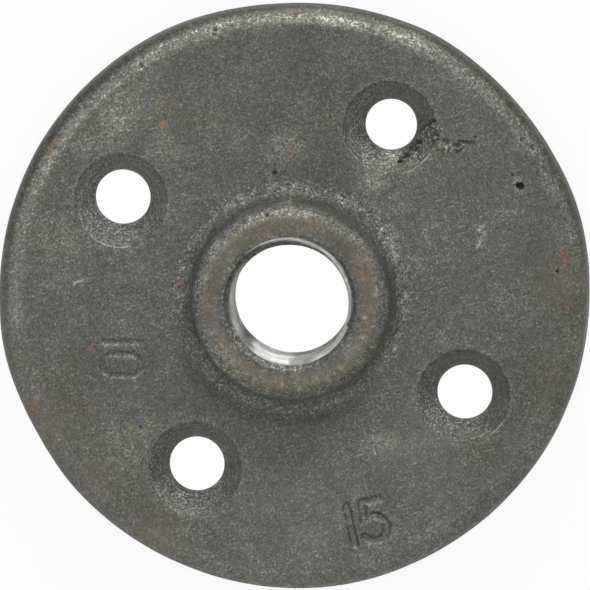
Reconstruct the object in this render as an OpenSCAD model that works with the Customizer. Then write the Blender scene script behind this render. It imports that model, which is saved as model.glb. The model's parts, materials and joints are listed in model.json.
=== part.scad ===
// Threaded floor flange: a cast iron disc with a low hub, tapped through for a pipe,
// and countersunk screw holes that hold it to a floor or a wall.
// The back face lies on z = 0 and the pipe leaves along +Z.

/* [Disc] */
// Outside diameter of the disc, at its widest near the back face
flange_d = 76.2; // [62:0.1:110]
// Thickness of the disc
flange_t = 6; // [4.4:0.1:9]
// Rounding of the front edge of the rim
rim_round = 3.2; // [0.5:0.1:4]
// Rounding of the back edge of the rim
back_round = 0.8; // [0.2:0.1:1.6]
// Draft of the rim, in degrees from the axis
rim_draft = 4; // [0:0.5:12]

/* [Hub] */
// Height of the hub's top face above the back face
hub_top = 12.7; // [11:0.1:24]
// Diameter of the hub at its top face, before its edge is rounded
hub_d = 25; // [22.5:0.1:36]
// Draft of the hub's wall, in degrees from the axis
hub_draft = 6; // [0:0.5:15]
// Rounding of the hub's top edge
hub_round = 2.4; // [0.4:0.1:3.2]
// Fillet between the hub and the disc
hub_fillet = 2.5; // [0.5:0.1:4]

/* [Pipe thread] */
// Diameter of the bore across the crests of the thread
bore_d = 15; // [10:0.1:16.6]
// Diameter of the chamfer at the mouth of the bore
mouth_d = 17.2; // [15.4:0.1:19.4]
// Diameter of the chamfer at the back end of the bore
back_mouth_d = 17.2; // [15.4:0.1:19.4]
// Included angle of both chamfers, in degrees
mouth_angle = 90; // [60:1:120]
// Rounding of the lip where the mouth meets the hub's top face
lip_round = 0.5; // [0.1:0.1:1]

/* [Screw holes] */
// Number of screw holes
screw_count = 4; // [3:1:6]
// Diameter of the circle that the screw holes lie on
screw_circle_d = 50.8; // [44:0.1:56]
// Diameter of a screw hole
screw_d = 7.14; // [4:0.02:9]
// Diameter of a countersink at the disc's front face
sink_d = 12; // [9.5:0.1:14]
// Height of the straight part of a screw hole above the back face
screw_land = 1.2; // [0.6:0.1:3]

/* [Hidden] */
$fn = 144;
// How far a cutter runs past the faces that it opens
past = 1;
// How far the circle of a rounding runs past tangency, so that it crosses both sides
graze = 0.0004;
iron = "#5d5c58";

// Radius of the rim at the back face before rounding, which leaves flange_d across it
rim_back_r = flange_d / 2 + back_round * (tan(rim_draft) + 1 / cos(rim_draft) - 1);
// Radius of the rim at its front edge and of the hub at its foot, both before rounding
rim_front_r = rim_back_r - flange_t * tan(rim_draft);
hub_foot_r = hub_d / 2 + (hub_top - flange_t) * tan(hub_draft);

// Depth of a chamfer that opens the bore to the given diameter
function chamfer_depth(d) = (d - bore_d) / 2 / tan(mouth_angle / 2);

// Half section, counterclockwise from the back of the bore: [radius, height, rounding]
section = [
    [back_mouth_d / 2, 0, 0],
    [rim_back_r, 0, back_round],
    [rim_front_r, flange_t, rim_round],
    [hub_foot_r, flange_t, hub_fillet],
    [hub_d / 2, hub_top, hub_round],
    [mouth_d / 2, hub_top, lip_round],
    [bore_d / 2, hub_top - chamfer_depth(mouth_d), 0],
    [bore_d / 2, chamfer_depth(back_mouth_d), 0],
];

// Widening of a countersink for each unit of height
sink_slope = (sink_d - screw_d) / 2 / (flange_t - screw_land);

// The straight part and the countersink of a screw hole: [radius, height]
screw_profile = [
    [0, -past],
    [screw_d / 2, -past],
    [screw_d / 2, screw_land],
    [sink_d / 2 + past * sink_slope, flange_t + past],
    [0, flange_t + past],
];

function unit(v) = v / norm(v);
function flat(corner) = [corner[0], corner[1]];
function turn(before, here, after) = cross(here - before, after - here);

// The sliver between a sharp corner and the arc that rounds it
module corner_sliver(before, here, after, r) {
    to_before = unit(before - here);
    to_after = unit(after - here);
    half_angle = acos(to_before * to_after) / 2;
    reach = r / tan(half_angle);
    centre = here + unit(to_before + to_after) * r / sin(half_angle);
    difference() {
        polygon([here, here + to_before * reach, centre, here + to_after * reach]);
        translate(centre) circle(r + graze);
    }
}

// The slivers of all rounded corners that turn left (side = 1) or right (side = -1)
module slivers(corners, side) {
    n = len(corners);
    for (i = [0 : n - 1]) {
        before = flat(corners[(i + n - 1) % n]);
        here = flat(corners[i]);
        after = flat(corners[(i + 1) % n]);
        if (corners[i][2] > 0 && side * turn(before, here, after) > 0)
            corner_sliver(before, here, after, corners[i][2]);
    }
}

// A closed outline whose outer corners are cut back to arcs and inner ones filled to arcs
module rounded_outline(corners) {
    difference() {
        union() {
            polygon([for (corner = corners) flat(corner)]);
            slivers(corners, -1);
        }
        slivers(corners, 1);
    }
}

module floor_flange() {
    color(iron) difference() {
        rotate_extrude() rounded_outline(section);
        for (i = [0 : screw_count - 1])
            rotate((i + 0.5) * 360 / screw_count)
                translate([screw_circle_d / 2, 0])
                    rotate_extrude() polygon(screw_profile);
    }
}

floor_flange();
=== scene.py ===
import bpy
import bmesh
import json
from math import acos, atan, atan2, cos, degrees, exp, hypot, pi, radians, sin, tan
from mathutils import Matrix, Vector, noise


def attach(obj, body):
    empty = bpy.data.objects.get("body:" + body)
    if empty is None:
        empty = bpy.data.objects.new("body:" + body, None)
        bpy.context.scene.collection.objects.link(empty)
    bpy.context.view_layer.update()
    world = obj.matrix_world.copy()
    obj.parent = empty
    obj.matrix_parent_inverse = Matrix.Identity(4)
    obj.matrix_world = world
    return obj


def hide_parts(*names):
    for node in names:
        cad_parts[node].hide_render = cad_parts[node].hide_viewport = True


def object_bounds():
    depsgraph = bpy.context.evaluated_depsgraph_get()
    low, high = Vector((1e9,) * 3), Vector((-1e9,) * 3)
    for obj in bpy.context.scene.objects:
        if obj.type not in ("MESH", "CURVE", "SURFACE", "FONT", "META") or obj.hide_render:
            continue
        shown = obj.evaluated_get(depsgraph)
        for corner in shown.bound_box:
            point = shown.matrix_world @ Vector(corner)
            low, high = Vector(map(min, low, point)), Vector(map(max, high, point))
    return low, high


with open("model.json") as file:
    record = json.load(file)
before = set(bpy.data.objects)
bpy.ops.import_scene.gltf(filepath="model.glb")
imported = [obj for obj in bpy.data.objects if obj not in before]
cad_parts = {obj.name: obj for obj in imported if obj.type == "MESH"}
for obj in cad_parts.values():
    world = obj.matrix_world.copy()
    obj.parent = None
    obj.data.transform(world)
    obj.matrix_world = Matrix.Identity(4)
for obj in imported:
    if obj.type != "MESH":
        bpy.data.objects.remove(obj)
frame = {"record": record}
cadLow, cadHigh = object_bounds()
mounts = {mount["name"]: mount for mount in frame["record"]["mounts"]}
mm = 0.001  # shapes are drawn in millimetres and brought to metres at the end
print("frame loaded")

# camera: looks down on the front face from a long way off, leaning a little

cameraSetup = {
    "leanRight": 2.7,  # degrees towards the right of the picture
    "leanUp": 6.1,  # degrees towards the top of the picture
    "roll": 15.4,  # degrees from the picture's right to the part's +X
    "distance": 1800.0,
    "pixelsPerMm": 7.741,
    "framePixels": 590,
    "originPixel": (294.36, 293.5),  # where the middle of the back face shows
    "sensor": 36.0,
    "clip": (0.1, 10.0),  # metres
}

roll = radians(cameraSetup["roll"])
pictureRight = Vector((cos(roll), -sin(roll), 0))
pictureUp = Vector((sin(roll), cos(roll), 0))
viewBack = (
    pictureRight * tan(radians(cameraSetup["leanRight"]))
    + pictureUp * tan(radians(cameraSetup["leanUp"]))
    + Vector((0, 0, 1))
).normalized()
viewRight = pictureUp.cross(viewBack).normalized()
viewUp = viewBack.cross(viewRight)
frameMiddle = cameraSetup["framePixels"] / 2
aimRight = (frameMiddle - cameraSetup["originPixel"][0]) / cameraSetup["pixelsPerMm"]
aimUp = (cameraSetup["originPixel"][1] - frameMiddle) / cameraSetup["pixelsPerMm"]
eye = pictureRight * aimRight + pictureUp * aimUp + viewBack * cameraSetup["distance"]

cameraData = bpy.data.cameras.new("camera")
cameraData.sensor_width = cameraSetup["sensor"]
cameraData.lens = (
    cameraSetup["sensor"] * cameraSetup["distance"] * cameraSetup["pixelsPerMm"] / cameraSetup["framePixels"]
)
cameraData.clip_start, cameraData.clip_end = cameraSetup["clip"]
camera = bpy.data.objects.new("camera", cameraData)
cameraTurn = Matrix((viewRight, viewUp, viewBack)).transposed().to_4x4()
camera.matrix_world = Matrix.Translation(eye * mm) @ cameraTurn
bpy.context.scene.collection.objects.link(camera)
bpy.context.scene.camera = camera


def onPart(pixel, height):  # the point at a height that shows at a pixel of the picture
    away = (
        viewRight * (pixel[0] - frameMiddle)
        - viewUp * (pixel[1] - frameMiddle)
        - viewBack * cameraSetup["distance"] * cameraSetup["pixelsPerMm"]
    )
    return eye + away * ((height - eye.z) / away.z)


def pictureAngle(flat):  # degrees, counterclockwise in the picture from its right
    return (degrees(atan2(flat.y, flat.x)) + cameraSetup["roll"] + 180) % 360 - 180


print("camera placed")

# casting: spun hub and rim, and four quarters of the disc, each drawn through its screw hole

flange = {
    "rimRadius": (cadHigh.x - cadLow.x) / 2 / mm,
    "thickness": 6.0,
    "rimRound": 3.2,
    "backRound": 0.8,
    "rimDraft": 4.0,
    "hubTop": cadHigh.z / mm,
    "hubRadius": 12.5,
    "hubDraft": 6.0,
    "hubRound": 2.4,
    "hubFillet": 2.5,
    "boreRadius": mounts["pipe_thread"]["dims"]["r_mm"],
    "mouthRadius": 8.6,
    "lipRound": 0.5,
    "lipBelow": 0.2,  # the hub's skin starts this far below its top, in the chamfer
    "screwCircle": mounts["screw_holes"]["dims"]["pcd_mm"] / 2,
    "screwCount": mounts["screw_holes"]["dims"]["count"],
    "screwLand": 1.2,
    "sinkRadius": 6.0,
    "sinkLip": 0.25,  # rounding of a countersink's edge
    "throats": (3.32, 3.55, 3.55, 3.55),  # radius of each screw hole as it was cast
    "throatAbove": 0.05,  # a throat's edge is eased between these two heights over and under the land
    "throatBelow": 0.08,
    "throatBevel": 0.1,  # at the back face
    "faceInner": 15.6,  # the flat front lies between these two radii
    "faceOuter": 34.6,
    "backOuter": 37.2,
    "aroundSteps": 320,
    "sideSteps": 40,
    "profileStep": 0.45,
    "lipSteps": 6,
    "faceRings": 34,
    "sinkRings": 9,
    "backRings": 6,
}
top, face, bore = flange["hubTop"], flange["thickness"], flange["boreRadius"]
mouth, sink = flange["mouthRadius"], flange["sinkRadius"]
mouthDepth = mouth - bore  # both chamfers stand at 45 degrees
rimDraft, hubDraft = radians(flange["rimDraft"]), radians(flange["hubDraft"])
rimBack = flange["rimRadius"] + flange["backRound"] * (tan(rimDraft) + 1 / cos(rimDraft) - 1)
rimFront = rimBack - face * tan(rimDraft)
hubFoot = flange["hubRadius"] + (top - face) * tan(hubDraft)
mergeDistance = 0.0005
quarter = 2 * pi / flange["screwCount"]
screwAxes = [
    Vector((cos(quarter * (i + 0.5)), sin(quarter * (i + 0.5)), 0)) * flange["screwCircle"]
    for i in range(flange["screwCount"])
]


def roundedProfile(corners, step):  # corners are (radius, height, rounding, segments)
    points = []
    for i, (radius, height, rounding, segments) in enumerate(corners):
        here = Vector((radius, height))
        if rounding == 0:
            points.append(here)
            continue
        toBefore = (Vector(corners[i - 1][:2]) - here).normalized()
        toAfter = (Vector(corners[i + 1][:2]) - here).normalized()
        half = toBefore.angle(toAfter) / 2
        centre = here + (toBefore + toAfter).normalized() * rounding / sin(half)
        start = here + toBefore * rounding / tan(half) - centre
        sweep = start.angle_signed(here + toAfter * rounding / tan(half) - centre)
        for k in range(segments + 1):
            turned = start.copy()
            turned.rotate(Matrix.Rotation(-sweep * k / segments, 2))
            points.append(centre + turned)
    spaced = [points[0]]
    for point in points[1:]:  # long straight stretches are divided
        count = max(1, round((point - spaced[-1]).length / step))
        last = spaced[-1]
        spaced += [last.lerp(point, (k + 1) / count) for k in range(count)]
    return spaced


def drawProfile(bm, points):
    verts = [bm.verts.new((p.x, 0, p.y)) for p in points]
    return verts + [bm.edges.new(pair) for pair in zip(verts, verts[1:])]


def spinProfile(bm, points):
    bmesh.ops.spin(
        bm, geom=drawProfile(bm, points), cent=(0, 0, 0), axis=(0, 0, 1),
        angle=2 * pi, steps=flange["aroundSteps"], use_merge=True,
    )


def quarterOutline(inner, outer, height, start):  # along the inner arc, out, back along the outer arc, and in
    arcSteps, sideSteps = flange["aroundSteps"] // flange["screwCount"], flange["sideSteps"]

    def at(radius, step):
        angle = start + quarter * step / arcSteps
        return Vector((radius * cos(angle), radius * sin(angle), height))

    def along(step):
        return inner + (outer - inner) * step / sideSteps

    points = [at(inner, k) for k in range(arcSteps)]
    points += [at(along(k), arcSteps) for k in range(sideSteps)]
    points += [at(outer, arcSteps - k) for k in range(arcSteps)]
    points += [at(along(sideSteps - k), 0) for k in range(sideSteps)]
    return points


def drawOn(bm, ring, points):  # extrudes a closed ring and puts its new vertices on points
    edges = [bm.edges.get(pair) for pair in zip(ring, ring[1:] + ring[:1])]
    made = set(bmesh.ops.extrude_edge_only(bm, edges=edges)["geom"])
    fresh, across = [], []
    for vert, point in zip(ring, points):
        edge = next(e for e in vert.link_edges if e.other_vert(vert) in made)
        fresh.append(edge.other_vert(vert))
        across.append(edge)
        fresh[-1].co = point
    return fresh, across


def drawQuarter(bm, axis, start, throat):
    outline = quarterOutline(flange["faceInner"], flange["faceOuter"], face, start)
    outwards = [(p - axis).to_2d().normalized().to_3d() for p in outline]

    def ringAt(radius, height):
        return [Vector((axis.x, axis.y, height)) + o * radius for o in outwards]

    land, lip = flange["screwLand"], flange["sinkLip"]
    above, below, bevel = flange["throatAbove"], flange["throatBelow"], flange["throatBevel"]
    slope = (sink - throat) / (face - land)
    steep = pi / 2 - atan(slope)
    lipTop = sink + lip * tan(steep / 2)
    ring = [bm.verts.new(p) for p in outline]
    for pair in zip(ring, ring[1:] + ring[:1]):
        bm.edges.new(pair)
    ring, faceAcross = drawOn(bm, ring, ringAt(lipTop, face))
    for k in range(1, flange["lipSteps"] + 1):
        bend = steep * k / flange["lipSteps"]
        ring, skip = drawOn(bm, ring, ringAt(lipTop - lip * sin(bend), face - lip + lip * cos(bend)))
    ring, sinkAcross = drawOn(bm, ring, ringAt(throat + above * slope, land + above))
    ring, skip = drawOn(bm, ring, ringAt(throat, land - below))
    ring, skip = drawOn(bm, ring, ringAt(throat, bevel))
    ring, skip = drawOn(bm, ring, ringAt(throat + bevel, 0))
    ring, backAcross = drawOn(bm, ring, quarterOutline(mouth, flange["backOuter"], 0, start))
    for across, rings in ((faceAcross, "faceRings"), (sinkAcross, "sinkRings"), (backAcross, "backRings")):
        bmesh.ops.subdivide_edges(bm, edges=across, cuts=flange[rings] - 1, use_grid_fill=True)


body = bmesh.new()
hubProfile = roundedProfile(
    [
        (bore, top - mouthDepth, 0, 0),
        (mouth, top, flange["lipRound"], 4),
        (flange["hubRadius"], top, flange["hubRound"], 9),
        (hubFoot, face, flange["hubFillet"], 9),
        (flange["faceInner"], face, 0, 0),
    ],
    flange["profileStep"],
)
lipStart = next(i for i, p in enumerate(hubProfile) if p.y > top - flange["lipBelow"])
spinProfile(body, hubProfile[lipStart:])
rimProfile = roundedProfile(
    [
        (flange["faceOuter"], face, 0, 0),
        (rimFront, face, flange["rimRound"], 12),
        (rimBack, 0, flange["backRound"], 5),
        (flange["backOuter"], 0, 0, 0),
    ],
    flange["profileStep"],
)
spinProfile(body, rimProfile)
for i, axis in enumerate(screwAxes):
    drawQuarter(body, axis, quarter * i, flange["throats"][i])
bmesh.ops.remove_doubles(body, verts=body.verts, dist=mergeDistance)
print("casting drawn:", len(body.faces), "faces")

# pipe thread: one ridge spun up the bore, cut off at the two chamfers

thread = {
    "pitch": 25.4 / 18,
    "depth": 0.85,
    "crestWidth": 0.22,
    "flankAngle": 30,  # degrees
    "flankParts": 3,
    "stepsPerTurn": 96,
    "spareTurns": 3,  # the ridge starts below the back face and ends above the hub
    "lipGap": 0.06,  # heights that are left for the strips that join the lip and the back face
    "backGap": 0.1,
}


def drawThread(bm):
    pitch, steps, parts = thread["pitch"], thread["stepsPerTurn"], thread["flankParts"]
    crest, root = thread["crestWidth"], bore + thread["depth"]
    flank = thread["depth"] * tan(radians(thread["flankAngle"]))
    heights = [0, crest, crest + flank, pitch - flank, pitch]
    ridge = [Vector((r, z - pitch)) for r, z in zip((bore, bore, root, root, bore), heights)]
    points = [ridge[0]]
    for point, count in zip(ridge[1:], (1, parts, 1, parts)):
        last = points[-1]
        points += [last.lerp(point, (k + 1) / count) for k in range(count)]
    turns = int(top / pitch) + thread["spareTurns"]
    bmesh.ops.spin(
        bm, geom=drawProfile(bm, points), cent=(0, 0, 0), axis=(0, 0, 1), dvec=(0, 0, pitch / steps),
        angle=2 * pi * turns, steps=steps * turns,
    )
    bmesh.ops.remove_doubles(bm, verts=bm.verts, dist=mergeDistance)
    for vert in bm.verts:  # the chamfers open the ridges at both ends
        radius = hypot(vert.co.x, vert.co.y)
        opened = max(radius, bore + vert.co.z - (top - mouthDepth), bore + mouthDepth - vert.co.z)
        vert.co.x, vert.co.y = vert.co.x * opened / radius, vert.co.y * opened / radius
    for height, outwards in ((hubProfile[lipStart].y - thread["lipGap"], 1), (thread["backGap"], -1)):
        bmesh.ops.bisect_plane(
            bm, geom=bm.verts[:] + bm.edges[:] + bm.faces[:], dist=mergeDistance,
            plane_co=(0, 0, height), plane_no=(0, 0, outwards), clear_outer=True,
        )


threadMesh = bmesh.new()
drawThread(threadMesh)
threadData = bpy.data.meshes.new("threadDraft")
threadMesh.to_mesh(threadData)
threadMesh.free()
body.from_mesh(threadData)
bpy.data.meshes.remove(threadData)
openEdges = [e for e in body.edges if e.is_boundary]
for upper in (True, False):  # the thread's two ends join the lip and the back face
    loops = [e for e in openEdges if (e.verts[0].co.z > top / 2) == upper]
    bmesh.ops.bridge_loops(body, edges=loops)
bmesh.ops.recalc_face_normals(body, faces=body.faces)
print("thread cut:", len(body.faces), "faces, open edges:", sum(e.is_boundary for e in body.edges))

# helpers for the surface: soft steps, distances to drawn lines, and flecks


def ramp(value, low, high):  # rises smoothly from 0 at low to 1 at high
    t = min(1, max(0, (value - low) / (high - low)))
    return t * t * (3 - 2 * t)


def within(value, riseFrom, riseTo, fallFrom, fallTo):  # rises to 1 and falls again
    return ramp(value, riseFrom, riseTo) * (1 - ramp(value, fallFrom, fallTo))


def bell(value, middle, spread):
    return exp(-((value - middle) / spread) ** 2)


def flecked(at, mean, depth, scale):  # a value that changes from place to place, as all the flecks do
    return mean + depth * noise.noise(at * scale)


def strokeDistance(point, start, end):
    along = end - start
    t = min(1, max(0, (point - start).dot(along) / along.length_squared))
    return (point - start - along * t).length


def pathDistance(point, path):
    return min(strokeDistance(point, a, b) for a, b in zip(path, path[1:]))


def arcDistance(point, centre, radius, low, high):  # angles in degrees, counterclockwise
    away = point - centre
    angle = degrees(atan2(away.y, away.x))
    while angle < low:
        angle += 360
    if angle <= high:
        return abs(away.length - radius)
    ends = [centre + Vector((cos(radians(a)), sin(radians(a)))) * radius for a in (low, high)]
    return min((point - e).length for e in ends)


# numbers, sunk into the front face

# on each number the stroke walls that face away from the light get painted shade, those that face it a
# painted glint
numerals = {  # heights and widths in millimetres, turn in degrees of the picture
    "lower": {
        "digits": "15", "pixel": (362.5, 523), "turn": 12, "tall": 5.2, "stroke": 0.84, "wall": 0.6,
        "depth": 0.3, "wallShade": 0.58, "glint": 0.5, "refined": 0.2, "fineness": 0.12,
    },
    "left": {
        "digits": "10", "pixel": (122, 354), "turn": -91, "tall": 5.0, "stroke": 0.62, "wall": 0.5,
        "depth": 0.2, "wallShade": 0.32, "glint": 0.6, "refined": 0.25, "fineness": 0.2,
    },
}
numeralEdge = {
    "advance": 0.58,  # from one digit to the next, for digits one unit tall
    "margin": 0.2,  # around a number, in the same units
    "nearFace": 0.2,  # edges are refined up to this far from the face's height
    "shake": (0.09, 0.06), "shakeScale": 1.7,  # the strokes aren't quite even
    "flecks": (0.8, 1.1, 2.3),
    "lit": (0.1, 0.9), "litStep": 0.05,
}
digitShapes = {  # arcs are (centre, radius, first angle, last angle), lines are (start, end)
    "0": {
        "arcs": [((0.28, 0.72), 0.28, 0, 180), ((0.28, 0.28), 0.28, 180, 360)],
        "lines": [((0, 0.28), (0, 0.72)), ((0.56, 0.28), (0.56, 0.72))],
    },
    "1": {"arcs": [], "lines": [((0.28, 0), (0.28, 1))]},
    "5": {
        "arcs": [((0.26, 0.31), 0.31, -150, 135)],
        "lines": [((0.04, 0.53), (0.08, 1)), ((0.08, 1), (0.54, 1))],
    },
}


def digitDistance(digit, point):
    shape = digitShapes[digit]
    arcs = [arcDistance(point, Vector(centre), *sweep) for centre, *sweep in shape["arcs"]]
    return min(arcs + [strokeDistance(point, Vector(start), Vector(end)) for start, end in shape["lines"]])


class Stamp:  # one number
    def __init__(self, setup):
        self.setup = setup
        self.middle = onPart(setup["pixel"], face).to_2d()
        self.back = Matrix.Rotation(-radians(setup["turn"] - cameraSetup["roll"]), 2)
        self.corner = Vector((numeralEdge["advance"] * len(setup["digits"]) / 2, 0.5))
        self.reach = (self.corner.length + numeralEdge["margin"]) * setup["tall"]

    def distance(self, point):  # millimetres from the middle of the nearest stroke
        cell = self.back @ (point - self.middle) / self.setup["tall"] + self.corner
        return self.setup["tall"] * min(
            digitDistance(digit, cell - Vector((numeralEdge["advance"] * k, 0)))
            for k, digit in enumerate(self.setup["digits"])
        )

    def cut(self, point):  # 0 outside a stroke, 1 on its floor
        if (point - self.middle).length > self.reach:
            return 0
        half, wall = self.setup["stroke"] / 2, self.setup["wall"] / 2
        return 1 - ramp(self.distance(point), half - wall, half + wall)

    def lit(self, point):  # 1 on a wall that faces the top of the picture, -1 on one that faces away
        step = pictureUp.to_2d() * numeralEdge["litStep"]
        return (self.distance(point - step) - self.distance(point + step)) / (2 * numeralEdge["litStep"])


stamps = [Stamp(numerals["lower"]), Stamp(numerals["left"])]

# blow holes, a torn edge at one screw hole, scratches, and a rim that isn't quite round

blowHoles = {  # pixel, height, radius and depth
    "largeRight": ((520, 186), face, 0.58, 0.9), "besideLarge": ((512.5, 175), face, 0.3, 0.3),
    "upperRightA": ((522, 140), face, 0.34, 0.3), "upperRightB": ((533, 147), face, 0.36, 0.25),
    "farRight": ((557, 271), face, 0.3, 0.35), "rimTopA": ((215, 28), 5.4, 0.4, 0.25),
    "rimTopB": ((214, 34), 5.8, 0.35, 0.2), "rimLeft": ((141, 65), 5.4, 0.4, 0.2),
    "lowLeft": ((140.5, 427), face, 0.26, 0.3), "hubEdge": ((267, 214), 11.6, 0.34, 0.3),
    "aboveHub": ((275, 173), face, 0.45, 0.25), "tornA": ((428, 126.5), face, 0.42, 0.3),
    "tornB": ((433, 121), face, 0.36, 0.25), "tornC": ((448.5, 143), face, 0.36, 0.3),
    "tornD": ((475, 137), face, 0.28, 0.3),
}
blowEdge = {  # wall, ring and refined reach are shares of a hole's radius
    "wall": (0.1, 1), "rough": (1, 0.35, 2.5),
    "bright": 0.6, "brightRing": (0.9, 1.15, 1.3, 1.9), "brightFlecks": (0.35, 1, 3.1),
    "paintedShade": 0.9, "shadeDepth": 0.4,  # painted shade: holes this deep are as dark as that
    "refined": 1.6, "refinedAbove": 2, "fineness": 0.16,
}
holes = [
    (onPart(pixel, height).to_2d(), radius, depth) for pixel, height, radius, depth in blowHoles.values()
]

tornEdge = {  # a cold shut at the upper right screw hole
    "middle": (436, 140), "reach": 9,
    "grooves": {  # pixels along it, its height, half width and depth
        "slot": ([(399.5, 160.5), (402, 158.5), (404.5, 155), (407.5, 154), (410.5, 149.5), (413.5, 148.5),
                  (417, 143), (419.5, 142)], 3.6, 0.29, 0.5),
        "trough": ([(459.5, 141), (464, 142.5), (468, 143.5), (473, 142)], 6.0, 0.4, 0.26),
        "nick": ([(432, 142), (438, 149.5)], 6.0, 0.2, 0.2),
        "upper": ([(424, 131), (428, 126), (433, 120.5)], 4.8, 0.34, 0.2),
    },
    "grooveFloor": 0.02, "jag": 0.3, "jagScale": 1.7,
    "roughSpots": {  # pixel and radius
        "lip": ((431, 132), 2.1), "outer": ((446, 146), 1.5),
        "wall": ((414, 153), 1.6), "far": ((460, 147), 1.1),
    },
    "roughLevel": 5.5, "roughCore": 0.4, "roughHeight": 0.36, "roughSize": 0.56,
    "roughShift": Vector((7, 3, 1)), "fractal": (0.8, 2, 2),
    # painted shade in the gaps and a painted highlight on the lumps of the torn metal
    "gapDark": 0.58, "lumpBright": 0.7, "lumps": (0.05, 0.35),
    "refined": 0.35, "refinedAbove": 1.5, "fineness": 0.11,
}
grooves = [
    ([onPart(pixel, height).to_2d() for pixel in pixels], half, depth)
    for pixels, height, half, depth in tornEdge["grooves"].values()
]
roughSpots = [
    (onPart(pixel, tornEdge["roughLevel"]).to_2d(), reach) for pixel, reach in tornEdge["roughSpots"].values()
]
tornMiddle = onPart(tornEdge["middle"], face).to_2d()

scratches = {  # pixels of both ends
    "rightA": ((484, 224.5), (478.7, 230.8)), "rightB": ((484.5, 232), (478, 246.5)),
    "left": ((74, 284), (88, 278)),
}
scratchEdge = {"fade": (0.05, 0.32), "refinedBelow": 0.2, "fineness": 0.2}
scratchLines = [[onPart(pixel, face).to_2d() for pixel in ends] for ends in scratches.values()]

rimBulges = {  # angle on the part, half width in degrees, and how far the rim stands out
    "flatTop": (78, 17, -0.34), "right": (359, 13, 0.26), "upperRight": (45, 9, 0.2), "left": (174, 8, 0.12),
    "lowerLeftFlat": (193, 9, -0.24), "lowerLeft": (222, 24, -0.17), "low": (263, 13, 0.1),
    "lowerRight": (318, 20, 0.06),
}
bulgeFade = (33, 37.5)  # radii between which they come in
castSkin = {
    "waveSize": 6.0, "waveHeight": 0.035, "waveFractal": (1, 2, 2), "lumpSize": 1.6, "lumpHeight": 0.012,
    "fromSink": (-1, 0.6),  # it comes in past the edges of the countersinks and of the mouth
    "fromMouth": (0.1, 1.2),
}
zones = {
    "boreBelowTop": 0.05,  # inside the mouth the cast skin ends this far below the top
    "backBelow": 0.01,  # the back face stays flat
    "workedAbove": 1.3,  # no damage below this height
    "numbersBelowFace": 0.3,
}
halvings = 4  # at most, of one long edge


def scratched(flat):  # 1 along the middle of a scratch
    return 1 - ramp(min(strokeDistance(flat, *ends) for ends in scratchLines), *scratchEdge["fade"])


def screwDistance(point):
    return min((point.to_2d() - axis.to_2d()).length for axis in screwAxes)


def refine(bm, near, target):  # halves the long edges where fine shapes will be cut
    for again in range(halvings):
        longEdges = [e for e in bm.edges if e.calc_length() > target]
        edges = [e for e in longEdges if near((e.verts[0].co + e.verts[1].co) / 2)]
        if edges:
            bmesh.ops.subdivide_edges(bm, edges=edges, cuts=1, use_grid_fill=True, use_single_edge=True)


def nearStamp(stamp):
    setup = stamp.setup

    def near(point):
        flat = point.to_2d()
        if abs(point.z - face) > numeralEdge["nearFace"] or (flat - stamp.middle).length > stamp.reach:
            return False
        return stamp.distance(flat) < setup["stroke"] / 2 + setup["wall"] / 2 + setup["refined"]

    return near


def nearHoles(point):
    if point.z <= blowEdge["refinedAbove"]:
        return False
    flat = point.to_2d()
    return any((flat - middle).length < radius * blowEdge["refined"] for middle, radius, depth in holes)


def nearScratch(point):
    return point.z > face - scratchEdge["refinedBelow"] and scratched(point.to_2d()) > 0


def nearTear(point):
    flat = point.to_2d()
    if point.z < tornEdge["refinedAbove"] or (flat - tornMiddle).length > tornEdge["reach"]:
        return False
    if any(pathDistance(flat, path) < half + tornEdge["refined"] for path, half, depth in grooves):
        return True
    return any((flat - spot).length < reach for spot, reach in roughSpots)


for stamp in stamps:
    refine(body, nearStamp(stamp), stamp.setup["fineness"])
refine(body, nearHoles, blowEdge["fineness"])
refine(body, nearScratch, scratchEdge["fineness"])
refine(body, nearTear, tornEdge["fineness"])
print("fine areas refined:", len(body.faces), "faces")

body.normal_update()
# the wear layer also carries painted highlights and sheen, the scuff layer painted glints, the dark layer
# mostly painted shade, and the even layer painted light on the lower skin
layerNames = ("wearAndSheen", "sunk", "dark", "brown", "rust", "ochre", "cut", "scuffAndGlint", "even")
layers = {name: body.verts.layers.float.new(name) for name in layerNames}
finishes = {"skin": 0, "sink": 1, "thread": 2}
finishEdge = {"thread": 0.1, "sink": 0.05}  # how far inside its edge each one starts

for facet in body.faces:  # each face gets its finish
    spot = facet.calc_center_median()
    if hypot(spot.x, spot.y) < mouth - finishEdge["thread"] and spot.z < top - mouthDepth:
        facet.material_index = finishes["thread"]
    elif screwDistance(spot) < sink - finishEdge["sink"]:
        facet.material_index = finishes["sink"]


def leave(vert, name, value):  # keeps the stronger of two marks
    vert[layers[name]] = max(vert[layers[name]], value)


def castMove(vert, radius, fromSink):  # the uneven skin of a sand casting
    skin = ramp(fromSink, *castSkin["fromSink"]) * ramp(radius - mouth, *castSkin["fromMouth"])
    wave = noise.fractal(vert.co / castSkin["waveSize"], *castSkin["waveFractal"]) * castSkin["waveHeight"]
    lump = noise.noise(vert.co / castSkin["lumpSize"]) * castSkin["lumpHeight"]
    return vert.normal * (wave + lump) * skin


def bulgeMove(flat, fade):
    angle = degrees(atan2(flat.y, flat.x)) % 360
    out = 0
    for where, spread, height in rimBulges.values():
        out += height * bell((angle - where + 180) % 360 - 180, 0, spread)
    return flat.to_3d().normalized() * out * fade


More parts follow.
